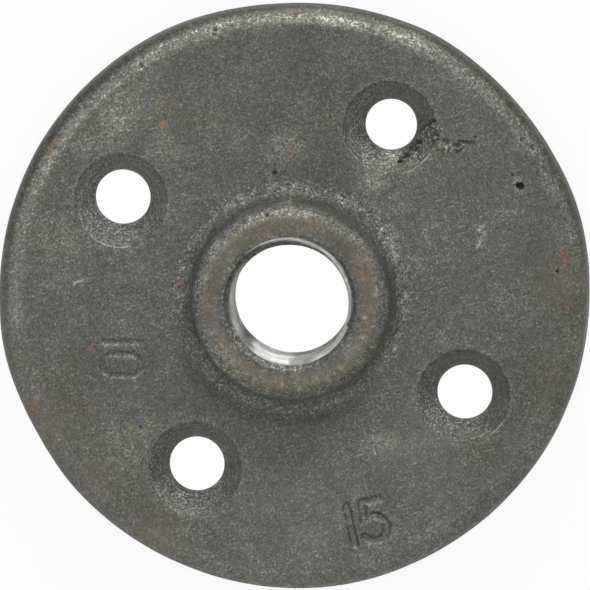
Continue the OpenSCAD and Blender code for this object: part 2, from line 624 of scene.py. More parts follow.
def numberDepth(vert, flat):  # also leaves painted shade on the stroke walls that face away from the light and painted glints on those that face it
    depth = 0
    for stamp in stamps:
        shake = Vector(numeralEdge["shake"]) * noise.noise(vert.co * numeralEdge["shakeScale"])
        share = stamp.cut(flat + shake)
        depth += stamp.setup["depth"] * share
        if 0 < share < 1:
            wall = 4 * share * (1 - share) * flecked(vert.co, *numeralEdge["flecks"])  # most at half depth
            lit = ramp(stamp.lit(flat), *numeralEdge["lit"])
            leave(vert, "dark", stamp.setup["wallShade"] * wall * (1 - lit))
            leave(vert, "scuffAndGlint", stamp.setup["glint"] * wall * lit)
    return depth


def holeDepth(vert, flat):  # also leaves bright flecks around the holes
    depth = 0
    for middle, wide, deep in holes:
        away = (flat - middle).length / wide
        if away < blowEdge["brightRing"][-1]:
            depth += deep * (1 - ramp(away * flecked(vert.co, *blowEdge["rough"]), *blowEdge["wall"]))
            flecks = max(0, flecked(vert.co, *blowEdge["brightFlecks"]))
            leave(vert, "scuffAndGlint", blowEdge["bright"] * within(away, *blowEdge["brightRing"]) * flecks)
    return depth


def grooveDepth(vert, flat):
    jag = tornEdge["jag"] * noise.fractal(vert.co * tornEdge["jagScale"], *tornEdge["fractal"])
    return sum(
        deep * (1 - ramp(pathDistance(flat, path) + jag, tornEdge["grooveFloor"], half))
        for path, half, deep in grooves
    )


def roughDepth(vert, flat):  # torn metal, with painted shade in its gaps and a painted highlight on its lumps
    depth = 0
    for spot, reach in roughSpots:
        fade = 1 - ramp((flat - spot).length, reach * tornEdge["roughCore"], reach)
        if fade > 0:
            place = vert.co / tornEdge["roughSize"] + tornEdge["roughShift"]
            gap = noise.fractal(place, *tornEdge["fractal"])
            depth += fade * tornEdge["roughHeight"] * gap
            leave(vert, "dark", tornEdge["gapDark"] * fade * ramp(gap, *tornEdge["lumps"]))
            leave(vert, "scuffAndGlint", tornEdge["lumpBright"] * fade * ramp(-gap, *tornEdge["lumps"]))
    return depth


def surfaceMove(vert):
    at, flat = vert.co, vert.co.to_2d()
    radius, fromSink = flat.length, screwDistance(at) - sink
    move = Vector((0, 0, 0))
    inBore = radius < mouth and at.z < top - zones["boreBelowTop"]
    if not inBore and at.z >= zones["backBelow"]:
        move += castMove(vert, radius, fromSink)
    fade = ramp(radius, *bulgeFade)
    if fade > 0:
        move += bulgeMove(flat, fade)
    if at.z > zones["workedAbove"] and not inBore:
        onFace = at.z > face - zones["numbersBelowFace"] and fromSink > 0
        carved = numberDepth(vert, flat) if onFace else 0
        sunk = holeDepth(vert, flat)
        if (flat - tornMiddle).length < tornEdge["reach"]:
            sunk += grooveDepth(vert, flat)
            carved += roughDepth(vert, flat)
        vert[layers["sunk"]] = sunk
        move -= vert.normal * (sunk + carved)
    return move


moves = [(vert, surfaceMove(vert)) for vert in body.verts]
for vert, move in moves:
    vert.co += move
body.normal_update()
print("surface worked")

# spots of rust and oxide, brighter and paler patches, patches of painted shade, and knocks

spots = {  # each one has its pixel, height, radius and strength
    "rust": {
        "aboveHub": ((290, 148), face, 0.36, 0.9), "besideHub": ((181, 282), face, 0.4, 1),
        "leftA": ((91, 348), face, 0.38, 1), "leftB": ((64, 365), face, 0.34, 0.8),
        "leftC": ((90, 409), face, 0.42, 0.95), "lowRight": ((543, 405), face, 0.4, 0.7),
        "rimLeftA": ((19, 363), 4, 0.6, 0.8), "rimLeftB": ((32, 405), 5, 0.7, 0.7),
        "rimUpLeft": ((50, 150), 5, 0.5, 0.8), "rimTop": ((296, 14), 5, 0.5, 0.7),
        "rimRightA": ((569, 305), 5, 0.6, 0.8), "rimRightB": ((565, 254), 5, 0.7, 0.8),
        "rimRightC": ((566, 264), 5, 0.5, 0.7), "sinkLip": ((405, 117), face, 0.4, 0.6),
        "hubTop": ((265, 231), top, 0.55, 0.55), "hubRight": ((364, 264), top, 1.7, 0.45),
        "hubLeft": ((204, 308), top, 1.5, 0.35), "hubLow": ((222, 339), top, 0.6, 0.5),
        "hubRightLow": ((367, 319), top, 0.9, 0.4), "hubEdge": ((261, 207), 11, 0.35, 0.6),
        "lipRight": ((346, 318), 12, 0.35, 1),
    },
    "ochre": {  # rust of a yellower kind
        "upperLeftA": ((165, 124), face, 0.55, 1), "upperLeftB": ((158, 101), face, 0.42, 0.8),
        "upperLeftC": ((199, 127), face, 0.4, 0.8), "upperLeftD": ((215, 125), face, 0.32, 0.6),
        "lowLeft": ((129, 428), face, 0.45, 0.9), "rimUpLeft": ((57, 141), 5, 0.6, 0.7),
        "hubFoot": ((285, 195), 6.5, 0.4, 0.6), "besideSink": ((252, 498), face, 0.4, 0.6),
        "sinkTear": ((366, 169), face, 0.32, 0.6),
    },
    "brown": {  # oxide that tints the skin
        "rimLeft": ((40, 425), 5, 4.0, 0.7), "rimLowLeft": ((88, 482), 5, 4.2, 0.4),
        "rimLow": ((152, 533), 5, 3.4, 0.7), "rimRight": ((567, 285), 5, 4.2, 0.6),
        "rimRightLow": ((556, 380), 5, 3.0, 0.35), "upperLeft": ((165, 118), face, 2.2, 0.3),
    },
    "scuffAndGlint": {  # patches where the skin is made brighter
        "upperLeft": ((122, 112), face, 3.0, 0.4), "left": ((58, 240), face, 2.8, 0.34),
        "besideTear": ((373, 181), face, 1.5, 0.6), "lowRight": ((382, 441), face, 2.0, 0.35),
        "sinkTear": ((382, 156), 5.5, 1.3, 0.7), "sinkThroat": ((391, 153), 2.2, 1.1, 0.8),
        "hubSpeck": ((287, 202), 9, 0.7, 0.7), "topLeft": ((288, 147), face, 1.9, 0.45),
        "lowLeft": ((130, 447), face, 3.2, 0.16), "besideSink": ((160, 154), face, 2.6, 0.18),
        "upperLeftRim": ((84, 142), face, 1.8, 0.25), "hubFoot": ((397, 202), face, 1.6, 0.22),
        "aboveSink": ((148, 427), face, 1.5, 0.24), "sinkLowLeft": ((172, 488), 3.6, 1.5, 0.2),
        "hubLowRight": ((382, 400), face, 2.2, 0.14), "hubRight": ((412, 262), face, 2.2, 0.14),
        "belowSink": ((217, 516), face, 2.0, 0.14),
    },
    "even": {  # paler skin with a calmer grain; the paleness is painted light on the lower and right parts of the face
        "low": ((300, 510), face, 14, 0.62), "lowRight": ((430, 450), face, 11, 0.6),
        "right": ((500, 330), face, 8, 0.35), "lowLeft": ((165, 415), face, 8, 0.42),
    },
    "scale": {  # painted shade: patches where the skin is darkened
        "top": ((325, 108), face, 10, 0.22), "right": ((557, 310), face, 7, 0.17),
        "lowRight": ((470, 500), face, 5, 0.13), "rightLow": ((528, 387), face, 6.5, 0.3),
        "belowHub": ((297, 434), face, 3.6, 0.22), "lowLeft": ((141, 508), face, 2.4, 0.15),
        "besideNumber": ((66, 377), face, 3.5, 0.26), "besideSink": ((487, 451), face, 3.4, 0.24),
        "upperRight": ((548, 165), face, 3.4, 0.24), "rimLow": ((262, 533), face, 1.8, 0.2),
        "hubRight": ((348, 247), 12.4, 2.0, 0.28), "rimUpRightA": ((472, 67), 5, 2.4, 0.2),
        "rimUpRightB": ((532, 127), 5, 2.4, 0.2),
    },
}
hubNicks = {  # small bright knocks on the hub's edge
    "pixels": [
        (214, 258), (206, 277), (217, 246), (211, 333), (225, 358), (237, 372),
        (254, 380), (282, 384), (300, 388), (317, 377), (329, 379), (341, 368),
        (348, 356), (363, 337), (365, 317), (375, 294), (364, 278), (351, 237),
    ],
    "height": 12.2, "radius": 0.22, "strength": 0.17,
}
nickSize = (hubNicks["height"], hubNicks["radius"], hubNicks["strength"])
spots["nick"] = {pixel: (pixel, *nickSize) for pixel in hubNicks["pixels"]}
spotSoft = {"rust": 0.7, "ochre": 0.7, "brown": 0.9, "scuffAndGlint": 0.8, "even": 0.9, "scale": 0.9, "nick": 0.8}
spotTall, spotSpare = 1.2, 0.5  # a spot covers this many radii of height, and a little more
spotsAbove = 1  # rust and the brighter patches stay off the foot of the rim
places = {
    kind: [(onPart(pixel, height), radius, strength) for pixel, height, radius, strength in group.values()]
    for kind, group in spots.items()
}


def spotted(at, kind):  # how strongly the spots of a kind cover a point near their own height
    soft, best = spotSoft[kind], 0
    for middle, radius, strength in places[kind]:
        away = hypot(at.x - middle.x, at.y - middle.y) / radius
        if away < 1 + soft and abs(at.z - middle.z) < spotTall * radius + spotSpare:
            best = max(best, strength * (1 - ramp(away, 1 - soft, 1 + soft)))
    return best


# wear, painted highlights, painted light and painted shade, kept on the vertices for the materials to read:
# its angles are degrees of the picture


class SkinPoint:  # a point of the surface, and where it lies in the picture
    def __init__(self, vert):
        self.at, self.normal, self.flat = vert.co, vert.normal, vert.co.to_2d()
        self.radius, self.angle = self.flat.length, pictureAngle(self.flat)
        reach = max(self.radius, 1)
        self.high = self.flat.dot(pictureUp.to_2d()) / reach  # 1 at the top, -1 at the bottom
        self.wide = self.flat.dot(pictureRight.to_2d()) / reach  # 1 at the right, -1 at the left


def between(table, angle):  # the values of a table, between the two angles that are given nearest
    low = max(a for a in table if a <= angle)
    high = min(a for a in table if a >= angle)
    share = (angle - low) / (high - low) if high > low else 0
    return [a + (b - a) * share for a, b in zip(table[low], table[high])]


# the rim: rubbed, with a painted highlight where its rounding faces the light at the top, painted shade on
# its steep outer band at the top, and painted light that makes its lower part paler
rimWearAndLight = {
    "above": 0.5,
    "band": {  # angle: tilts of the rim between which it is rubbed bright and given a painted highlight, and how much
        -180: (7, 36, 0.95), -160: (10, 50, 0.55), -90: (8, 66, 0.6), -20: (14, 60, 0.35), 10: (18, 48, 0.25),
        30: (20, 44, 0.35), 45: (19, 46, 0.55), 60: (18, 54, 0.85), 75: (17, 60, 1), 90: (19, 62, 0.97),
        105: (16, 48, 0.75), 120: (11, 38, 0.8), 150: (9, 36, 0.82), 170: (5, 34, 1), 180: (7, 36, 0.95),
    },
    "innerSoft": (-5, 5), "outerSoft": (-6, 8),  # degrees of tilt
    "sheenHigh": (0.2, 0.75),
    "scuffAndGlint": 0.36, "scuffAndGlintHigh": (0.5, 0.9),
    "dark": 0.62, "darkSoft": 16, "darkHigh": (-0.2, 0.4),
    "even": 0.55, "evenHigh": (0, 0.6), "evenRight": 0.4,
}


def paintRimWearAndLight(spot, marks):
    if spot.radius <= flange["faceOuter"] or spot.at.z <= rimWearAndLight["above"]:
        return
    tilt = degrees(acos(max(-1, min(1, spot.normal.z))))
    inner, outer, strength = between(rimWearAndLight["band"], spot.angle)
    band = strength * ramp(tilt - inner, *rimWearAndLight["innerSoft"])
    band *= 1 - ramp(tilt - outer, *rimWearAndLight["outerSoft"])
    # painted highlight on the upper rim, scuffs and painted glints lower down
    marks["wearAndSheen"] = band * ramp(spot.high, *rimWearAndLight["sheenHigh"])
    scuffAndGlint = rimWearAndLight["scuffAndGlint"] * band * (1 - ramp(spot.high, *rimWearAndLight["scuffAndGlintHigh"]))
    marks["scuffAndGlint"] = max(marks["scuffAndGlint"], scuffAndGlint)
    # painted shade on the steep outer band, strongest at the top
    dark = rimWearAndLight["dark"] * ramp(tilt, outer, outer + rimWearAndLight["darkSoft"])
    marks["dark"] = dark * ramp(spot.high, *rimWearAndLight["darkHigh"])
    # painted light: the lower and right rim made paler
    shown = spot.high + rimWearAndLight["evenRight"] * max(0, spot.wide)
    marks["even"] = max(marks["even"], rimWearAndLight["even"] * (1 - ramp(shown, *rimWearAndLight["evenHigh"])))


# the hub: a painted highlight on its upper edge and on a ring of its lower top, painted light on the lower
# side of its wall and painted shade on the upper side, knocks, and olive oxide on its top
hubWearAndLight = {
    "outside": 0.5, "above": 0.05, "edgeAbove": 9.5,
    "edge": (0.4, 0.7, 0.9, 1),  # how far the surface has turned up where the painted highlight and rubbing come and go
    "wearAndSheen": 0.5, "sheenHigh": (-0.2, 0.5), "sheenLess": 0.4, "lessWide": (0, 0.7),
    "scuffAndGlint": 0.08, "brighterLeft": 0.12, "leftWide": (0, 0.8), "knocks": 0.4, "knockScale": 0.9,
    "ring": 0.17, "ringAt": (10.6, 0.8), "ringHigh": (-0.7, 0),
    "brownUp": (0.8, 0.99), "brownFrom": (0.3, 0.8),
    "wallPaintedLight": 0.16, "wallLow": (0.1, 0.5),
    "wallDark": 0.3, "darkHigh": (-0.2, 0.5), "darkWide": (0.2, 0.7), "darkAbove": (0.7, 1.4),
}


def paintHubEdgeLight(spot, marks):
    up = spot.normal.z
    edge = within(up, *hubWearAndLight["edge"])
    # painted highlight on the edge, strongest at the top and weaker to the right
    marks["wearAndSheen"] = hubWearAndLight["wearAndSheen"] * edge * ramp(spot.high, *hubWearAndLight["sheenHigh"])
    marks["wearAndSheen"] *= 1 - hubWearAndLight["sheenLess"] * ramp(spot.wide, *hubWearAndLight["lessWide"])
    knocks = hubWearAndLight["knocks"] * max(0, noise.noise(spot.at * hubWearAndLight["knockScale"]))
    left = hubWearAndLight["brighterLeft"] * ramp(-spot.wide, *hubWearAndLight["leftWide"])
    # painted highlight on a ring of the top's lower half
    ring = hubWearAndLight["ring"] * bell(spot.radius, *hubWearAndLight["ringAt"])
    ring *= 1 - ramp(spot.high, *hubWearAndLight["ringHigh"])
    marks["scuffAndGlint"] = max(marks["scuffAndGlint"], edge * (hubWearAndLight["scuffAndGlint"] + left + knocks), ring)
    marks["cut"] = spotted(spot.at, "nick")
    marks["brown"] += ramp(up, *hubWearAndLight["brownUp"]) * ramp(spot.radius - mouth, *hubWearAndLight["brownFrom"])


def paintHubWallLightAndShade(spot, marks):
    # painted light on the wall's lower side, painted shade on its upper side
    marks["scuffAndGlint"] = max(marks["scuffAndGlint"], hubWearAndLight["wallPaintedLight"] * ramp(-spot.high, *hubWearAndLight["wallLow"]))
    dark = hubWearAndLight["wallDark"] * ramp(spot.high, *hubWearAndLight["darkHigh"])
    dark *= 1 - ramp(spot.wide, *hubWearAndLight["darkWide"])
    marks["dark"] = dark * ramp(spot.at.z - face, *hubWearAndLight["darkAbove"])


# the fillet round the hub: painted highlight and painted shade
filletLightAndShade = {
    "outer": 20, "above": 1.6,
    "upper": (-0.25, 0.25), "upperRight": 0.95,  # the painted highlight lies above a line that falls to the right
    "less": 0.55, "lessAt": (121, 19),
    "flecks": (0.75, 1.1, 1.3),
    "rubAndSheen": 0.52, "rubAndSheenAt": (14.5, 0.55),
    "corner": 0.3, "cornerAt": (15.6, 1.2), "cornerHigh": (0, 0.3), "cornerWide": (0.4, 0.8),
    "paintedShade": 0.42, "shadeAt": 15.9, "shadeInside": 1.0, "shadeOutside": 1.4,
    "shadeLow": (0.2, 0.6), "shadeWide": (0.45, 0.75),
}


def paintFilletLightAndShade(spot, marks):  # painted highlight above the hub and painted shade below it
    upper = ramp(spot.high + filletLightAndShade["upperRight"] * max(0, spot.wide), *filletLightAndShade["upper"])
    upper *= 1 - filletLightAndShade["less"] * bell(spot.angle, *filletLightAndShade["lessAt"])
    flecks = flecked(spot.at, *filletLightAndShade["flecks"])
    rubAndSheen = filletLightAndShade["rubAndSheen"] * upper * flecks * bell(spot.radius, *filletLightAndShade["rubAndSheenAt"])
    # painted light at the fillet's upper right
    corner = ramp(spot.high, *filletLightAndShade["cornerHigh"]) * ramp(spot.wide, *filletLightAndShade["cornerWide"])
    corner *= filletLightAndShade["corner"] * flecks * bell(spot.radius, *filletLightAndShade["cornerAt"])
    marks["scuffAndGlint"] = max(marks["scuffAndGlint"], rubAndSheen, corner)
    outside = spot.radius > filletLightAndShade["shadeAt"]
    spread = filletLightAndShade["shadeOutside"] if outside else filletLightAndShade["shadeInside"]
    lower = ramp(-spot.high, *filletLightAndShade["shadeLow"]) * (1 - ramp(spot.wide, *filletLightAndShade["shadeWide"]))
    paintedShade = filletLightAndShade["paintedShade"] * lower * bell(spot.radius, filletLightAndShade["shadeAt"], spread)
    marks["dark"] = max(marks["dark"], paintedShade)


# the mouth's chamfer: a painted highlight line, painted shade, and painted light on its lower part
mouthLightAndShade = {
    "chamferBelow": 0.05,
    "lower": (-172, -150, -75, -55),  # the part of the mouth that faces the light
    "line": (0.05, 0.0083, 0.19), "lineEnds": (-72, -58, 122, 140),  # painted highlight line: start, rise for each degree, and width
    "left": ((128, 148), (-158, -140)), "leftLine": 0.45, "leftAt": (0.05, 0.26),
    "shade": 0.22, "shadeRight": 0.06, "shadeRightEnds": (-30, 10),
    "shadeLeft": 0.26, "shadeLeftEnds": (-170, -145), "shadeAcross": (0.2, 0.6), "shadeTurn": -90,
    "lip": 0.5, "lipAcross": (0.7, 0.9), "lipFlecks": (0.8, 1.2, 1.6), "lipEnd": (-60, -40),
    "pale": 0.3, "paleEnd": (-100, -88),
    "cutFlecks": (0.85, 0.5, 1.9),
}
# painted shade on the thread by its angle in the picture
threadShade = {
    "ragged": (0, 7, 0.9), "bright": (-133, -128, -95, -86),
    "right": (-72, -60), "rightDeep": (0.3, 0.9), "rightLight": 0.8,
    "left": ((120, 150), (-158, -140)), "leftLight": 0.75,
    "shallow": (1, 5),
    "dark": 0.64, "darkLeft": 0.38, "darkLeftEnd": (-130, -115), "darkShallow": 0.24,
    "brightShade": 0.26, "edgeDeep": (0.15, 0.4),
}


def onLeft(angle, upper, lower):  # 1 at the left of the bore, fading along its upper and lower halves
    return ramp(angle, *upper) if angle > 0 else 1 - ramp(angle, *lower)


def paintChamferLight(spot, marks):  # the thread's first turn crosses it as a painted highlight line, with painted shade on the rest and painted light on its lower part
    angle, across = spot.angle, (spot.radius - bore) / mouthDepth
    lineStart, lineRise, lineWidth = mouthLightAndShade["line"]
    line = bell(across, lineStart + lineRise * max(angle, 0), lineWidth)
    line *= within(angle, *mouthLightAndShade["lineEnds"])
    left = onLeft(angle, *mouthLightAndShade["left"]) * bell(across, *mouthLightAndShade["leftAt"])
    line = max(line, mouthLightAndShade["leftLine"] * left)
    if angle > mouthLightAndShade["shadeTurn"]:
        shade = mouthLightAndShade["shade"] + mouthLightAndShade["shadeRight"] * ramp(angle, *mouthLightAndShade["shadeRightEnds"])
    else:
        shade = mouthLightAndShade["shadeLeft"] * (1 - ramp(angle, *mouthLightAndShade["shadeLeftEnds"]))
    marks["dark"] = shade * (1 - line) * ramp(across, *mouthLightAndShade["shadeAcross"])
    lip = mouthLightAndShade["lip"] * ramp(across, *mouthLightAndShade["lipAcross"]) * flecked(spot.at, *mouthLightAndShade["lipFlecks"])
    lip *= 1 - ramp(angle, *mouthLightAndShade["lipEnd"])
    pale = mouthLightAndShade["pale"] * (1 - ramp(angle, *mouthLightAndShade["paleEnd"]))
    marks["scuffAndGlint"] = within(angle, *mouthLightAndShade["lower"]) * max(lip, pale)
    marks["cut"] = line * flecked(spot.at, *mouthLightAndShade["cutFlecks"])


def paintThreadShade(spot, marks, deep):  # painted shade darkens the cut thread except in three places, where the light catches its flanks
    angle = spot.angle
    bright = within(angle + flecked(spot.at, *threadShade["ragged"]), *threadShade["bright"])
    right = threadShade["rightLight"] * ramp(angle, *threadShade["right"])
    right *= 1 - ramp(deep, *threadShade["rightDeep"])
    left = threadShade["leftLight"] * onLeft(angle, *threadShade["left"])
    shallow = 1 - ramp(deep, *threadShade["shallow"])
    dark = threadShade["dark"] + threadShade["darkLeft"] * (1 - ramp(angle, *threadShade["darkLeftEnd"]))
    dark = min(1, dark + threadShade["darkShallow"] * shallow) * (1 - max(bright, right, left))
    edge = within(angle, *mouthLightAndShade["lower"]) * (1 - ramp(deep, *threadShade["edgeDeep"]))
    marks["dark"] = max(dark, threadShade["brightShade"] * bright * shallow, edge)


# the countersinks: painted light on walls that face up and right, painted shade on the others, and painted
# highlights on their lower lips
sinkLightAndShade = {
    "wallBelow": 0.1, "lipBelow": 0.6,
    "wearAndSheen": 0.55, "sheenLess": 0.38, "lessFrom": (4, 5.8), "facingUp": (0.1, 0.7),
    "sheenRight": 0.3, "facingRight": (0.1, 0.8),
    "shade": {  # angle around a screw hole: how much painted shade darkens the wall of its countersink
        -180: (0.03,), -135: (0,), -90: (0,), -45: (0.34,), 0: (0.2,), 45: (0.1,), 90: (0.14,), 135: (0.24,),
        180: (0.03,),
    },
    "wallShade": (0.12, 0, 0.16, 0.34), "wallShadeUp": (-0.1, 0.3),  # painted shade on walls that face down, more of it in some of the countersinks
    "lipPale": 0.14, "paleAt": (0.3, 0.35),
    "lipGlints": (  # for each screw hole, the angles between which its lip gets a painted highlight, and how much
        (-80, -22, 0.7), (-138, -72, 0.8), (-138, -84, 0.4), (-62, -18, 0.9),
    ),
    "lipGlintAt": 0.04, "lipGlintHalf": 0.08, "lipGlintSoft": 20, "lipGlintCut": 0.15, "lipGlintFlecks": (0.7, 1.2, 1.7),
    "scratched": 0.85,
}


def onLipGlint(hole, away):
    low, high, strength = sinkLightAndShade["lipGlints"][hole]
    soft = sinkLightAndShade["lipGlintSoft"]
    if abs(away.length - sink - sinkLightAndShade["lipGlintAt"]) >= sinkLightAndShade["lipGlintHalf"]:
        return 0
    return strength * within(pictureAngle(away), low, low + soft, high - soft, high)


def paintSinkLight(spot, marks):
    hole = min(range(len(screwAxes)), key=lambda i: (spot.flat - screwAxes[i].to_2d()).length)
    away = spot.flat - screwAxes[hole].to_2d()
    if spot.at.z < face - sinkLightAndShade["wallBelow"] and away.length < sink:
        # painted light on walls facing up and right, painted shade by angle and on walls facing down
        facingUp, facingRight = spot.normal.dot(pictureUp), spot.normal.dot(pictureRight)
        wearAndSheen = sinkLightAndShade["wearAndSheen"] - sinkLightAndShade["sheenLess"] * ramp(away.length, *sinkLightAndShade["lessFrom"])
        marks["wearAndSheen"] = wearAndSheen * ramp(facingUp, *sinkLightAndShade["facingUp"])
        marks["wearAndSheen"] += sinkLightAndShade["sheenRight"] * ramp(facingRight, *sinkLightAndShade["facingRight"])
        wallShade = sinkLightAndShade["wallShade"][hole] * (1 - ramp(facingUp, *sinkLightAndShade["wallShadeUp"]))
        marks["dark"] = between(sinkLightAndShade["shade"], pictureAngle(away))[0] + wallShade
    elif spot.at.z > face - sinkLightAndShade["lipBelow"]:
        # painted highlight on the lip, a paler ring outside it, and scratches
        lipGlint = onLipGlint(hole, away)
        pale = sinkLightAndShade["lipPale"] * bell(away.length - sink, *sinkLightAndShade["paleAt"])
        marks["scuffAndGlint"] = max(marks["scuffAndGlint"], pale, lipGlint, sinkLightAndShade["scratched"] * scratched(spot.flat))
        marks["cut"] = max(0, sinkLightAndShade["lipGlintCut"] * lipGlint * flecked(spot.at, *sinkLightAndShade["lipGlintFlecks"]))


faceWear = {
    "up": 0.9, "below": 0.3, "even": 0.35,
    "pale": 0.07, "paleEven": (0.35, 0.55), "dark": 0.06, "darkEven": (0.35, 0.6),
}


def wearFace(marks):
    even = marks["even"] = max(marks["even"], faceWear["even"])
    marks["scuffAndGlint"] = max(marks["scuffAndGlint"], faceWear["pale"] * ramp(even, *faceWear["paleEven"]))
    marks["dark"] = max(marks["dark"], faceWear["dark"] * (1 - ramp(even, *faceWear["darkEven"])))


def marksAt(vert):
    spot = SkinPoint(vert)
    at, radius = spot.at, spot.radius
    marks = {"wearAndSheen": 0, "dark": 0, "cut": 0, "brown": spotted(at, "brown"), "even": spotted(at, "even")}
    for kind in ("scuffAndGlint", "rust", "ochre"):
        marks[kind] = spotted(at, kind) if at.z > spotsAbove else 0
    paintRimWearAndLight(spot, marks)
    if mouth < radius < flange["faceInner"] + hubWearAndLight["outside"] and at.z > face + hubWearAndLight["above"]:
        if at.z > hubWearAndLight["edgeAbove"]:
            paintHubEdgeLight(spot, marks)
        else:
            paintHubWallLightAndShade(spot, marks)
    if mouth < radius < filletLightAndShade["outer"] and at.z < face + filletLightAndShade["above"]:
        paintFilletLightAndShade(spot, marks)
    if radius < mouth:
        deep = top - mouthDepth - at.z
        if deep < mouthLightAndShade["chamferBelow"]:
            paintChamferLight(spot, marks)
        else:
            paintThreadShade(spot, marks, deep)
    if radius > flange["faceInner"]:
        paintSinkLight(spot, marks)
        if spot.normal.z > faceWear["up"] and at.z > face - faceWear["below"]:
            wearFace(marks)
    # patches of painted shade
    marks["dark"] = max(marks["dark"], spotted(at, "scale"))
    # painted shade in the blow holes, darker the deeper they are
    if at.z > zones["workedAbove"]:
        paintedShade = blowEdge["paintedShade"] * min(1, vert[layers["sunk"]] / blowEdge["shadeDepth"])
        marks["dark"] = max(marks["dark"], paintedShade)
    marks["wearAndSheen"], marks["brown"] = min(1, marks["wearAndSheen"]), min(1, marks["brown"])
    return marks


for vert in body.verts:
    for name, value in marksAt(vert).items():
        leave(vert, name, value)

creaseAngle = radians(38)
for edge in body.edges:  # crests, lips and steps keep a crisp line
    edge.smooth = not (edge.is_manifold and edge.calc_face_angle() > creaseAngle)
for facet in body.faces:
    facet.smooth = True

castData = bpy.data.meshes.new("flangeCasting")
body.to_mesh(castData)
body.free()
castData.transform(Matrix.Scale(mm, 4))
casting = bpy.data.objects.new("flangeCasting", castData)
bpy.context.scene.collection.objects.link(casting)
castData.calc_loop_triangles()
print("casting meshed:", len(castData.loop_triangles), "triangles")

# materials


def addNode(tree, kind, settings=(), **values):
    node = tree.nodes.new("ShaderNode" + kind)
    for name, value in dict(settings).items():
        setattr(node, name, value)
    for name, value in values.items():
        node.inputs[name].default_value = value
    return node


def grain(tree, coords, scale, detail, roughness=0.5):
    node = addNode(tree, "TexNoise", Scale=scale, Detail=detail, Roughness=roughness)
    tree.links.new(coords, node.inputs["Vector"])
    return node.outputs["Fac"]


def reading(tree, name):
    return addNode(tree, "Attribute", {"attribute_name": name}).outputs["Fac"]


def combine(tree, operation, first, second, third=None):
    node = addNode(tree, "Math", {"operation": operation})
    for slot, value in zip(node.inputs, (first, second, third)):
        if isinstance(value, (int, float)):
            slot.default_value = value
        elif value is not None:
            tree.links.new(value, slot)
    return node.outputs[0]


def clamped(tree, value, low, high):
    return combine(tree, "MINIMUM", combine(tree, "MAXIMUM", value, low), high)


grainMiddle = 0.5  # what a noise lies around


def addGrain(tree, value, grains, weight):  # adds a share of a noise, around its middle
    return combine(tree, "MULTIPLY_ADD", combine(tree, "SUBTRACT", grains, grainMiddle), weight, value)


def curve(tree, value, stops):  # a colour ramp through (position, colour) stops
    node = addNode(tree, "ValToRGB")
    elements = node.color_ramp.elements
    while len(elements) < len(stops):
        elements.new(0.5)
    for element, (position, colour) in zip(elements, stops):
        element.position, element.color = position, (*colour, 1)
    tree.links.new(value, node.inputs[0])
    return node.outputs["Color"]


def blendColour(tree, share, first, second, mode="MIX"):
    node = addNode(tree, "Mix", {"data_type": "RGBA", "blend_type": mode})
    for slot, value in ((node.inputs[0], share), (node.inputs[6], first), (node.inputs[7], second)):
        if isinstance(value, tuple):
            slot.default_value = (*value, 1)
        elif isinstance(value, (int, float)):
            slot.default_value = value
        else:
            tree.links.new(value, slot)
    return node.outputs[2]


def stretched(tree, coords, scale):
    node = addNode(tree, "Mapping", Scale=scale)
    tree.links.new(coords, node.inputs["Vector"])
    return node.outputs[0]


def startMaterial(name):
    material = bpy.data.materials.new(name)
    material.use_nodes = True
    tree = material.node_tree
    return material, tree, tree.nodes["Principled BSDF"], addNode(tree, "TexCoord").outputs["Object"]


castGrain = {
    "fine": (3500, 2, 0.6), "medium": (1300, 2), "broad": (170, 3),  # scale, detail and roughness
    "bump": 0.7, "bumpDepth": 0.00007,
}


def surfaceNoise(tree, coords, weights):
    value = grain(tree, coords, *castGrain["fine"])
    for size, weight in zip(("medium", "broad"), weights):
        value = addGrain(tree, value, grain(tree, coords, *castGrain[size]), weight)
    return value


def withBump(tree, shader, height):
    bump = addNode(tree, "Bump", Strength=castGrain["bump"], Distance=castGrain["bumpDepth"])
    tree.links.new(height, bump.inputs["Height"])
    tree.links.new(bump.outputs[0], shader.inputs["Normal"])


skinFinish = {
    "grain": (0.4, 0.25),
    "specks": [
        (0.28, (0.048, 0.049, 0.043)), (0.48, (0.095, 0.097, 0.086)),
        (0.62, (0.15, 0.152, 0.137)), (0.76, (0.3, 0.302, 0.281)),
    ],
    # the paler, calmer skin colour; where it is strong it is painted light
    "even": (0.152, 0.151, 0.135), "evenShare": 0.45,
    "olive": (0.14, 0.132, 0.105), "oliveShare": 0.5,
    "brown": (1.2, 1.0, 0.76), "patches": (420, 3, 0.6), "patchCurve": (3.2, -1.4),
    # tints for wear with painted highlights, scuffs with painted glints, and painted shade
    "wearAndSheen": (1.75, 1.72, 1.66), "scuffAndGlint": (2.2, 2.2, 2.15), "dark": (0.25, 0.25, 0.16),
    "flecks": 5.2, "flecksLess": -7.0,  # contrast of a scuff and painted glint, and how much of it an even skin takes away
    "rust": (0.27, 0.13, 0.06), "ochre": (0.27, 0.18, 0.07),
    "rustGrain": 1.6, "rustFrom": 0.02, "rustCurve": (1.5, -0.5), "rustMost": 0.65,
    # near-white: cut metal on the hub's knocks, and painted highlight lines on the chamfer and the
    # countersink lips
    "cut": (0.92, 0.91, 0.89),
    "bareCurve": (3.0, -1.4), "bareWearAndSheen": 0.5,  # how much metal shows between the specks
    "metal": 0.2, "metalWearAndSheen": 0.7, "metalScuffAndGlint": 0.4,
    "roughCurve": (-0.3, 0.65), "roughWearAndSheen": -0.14, "specular": 0.15,
}


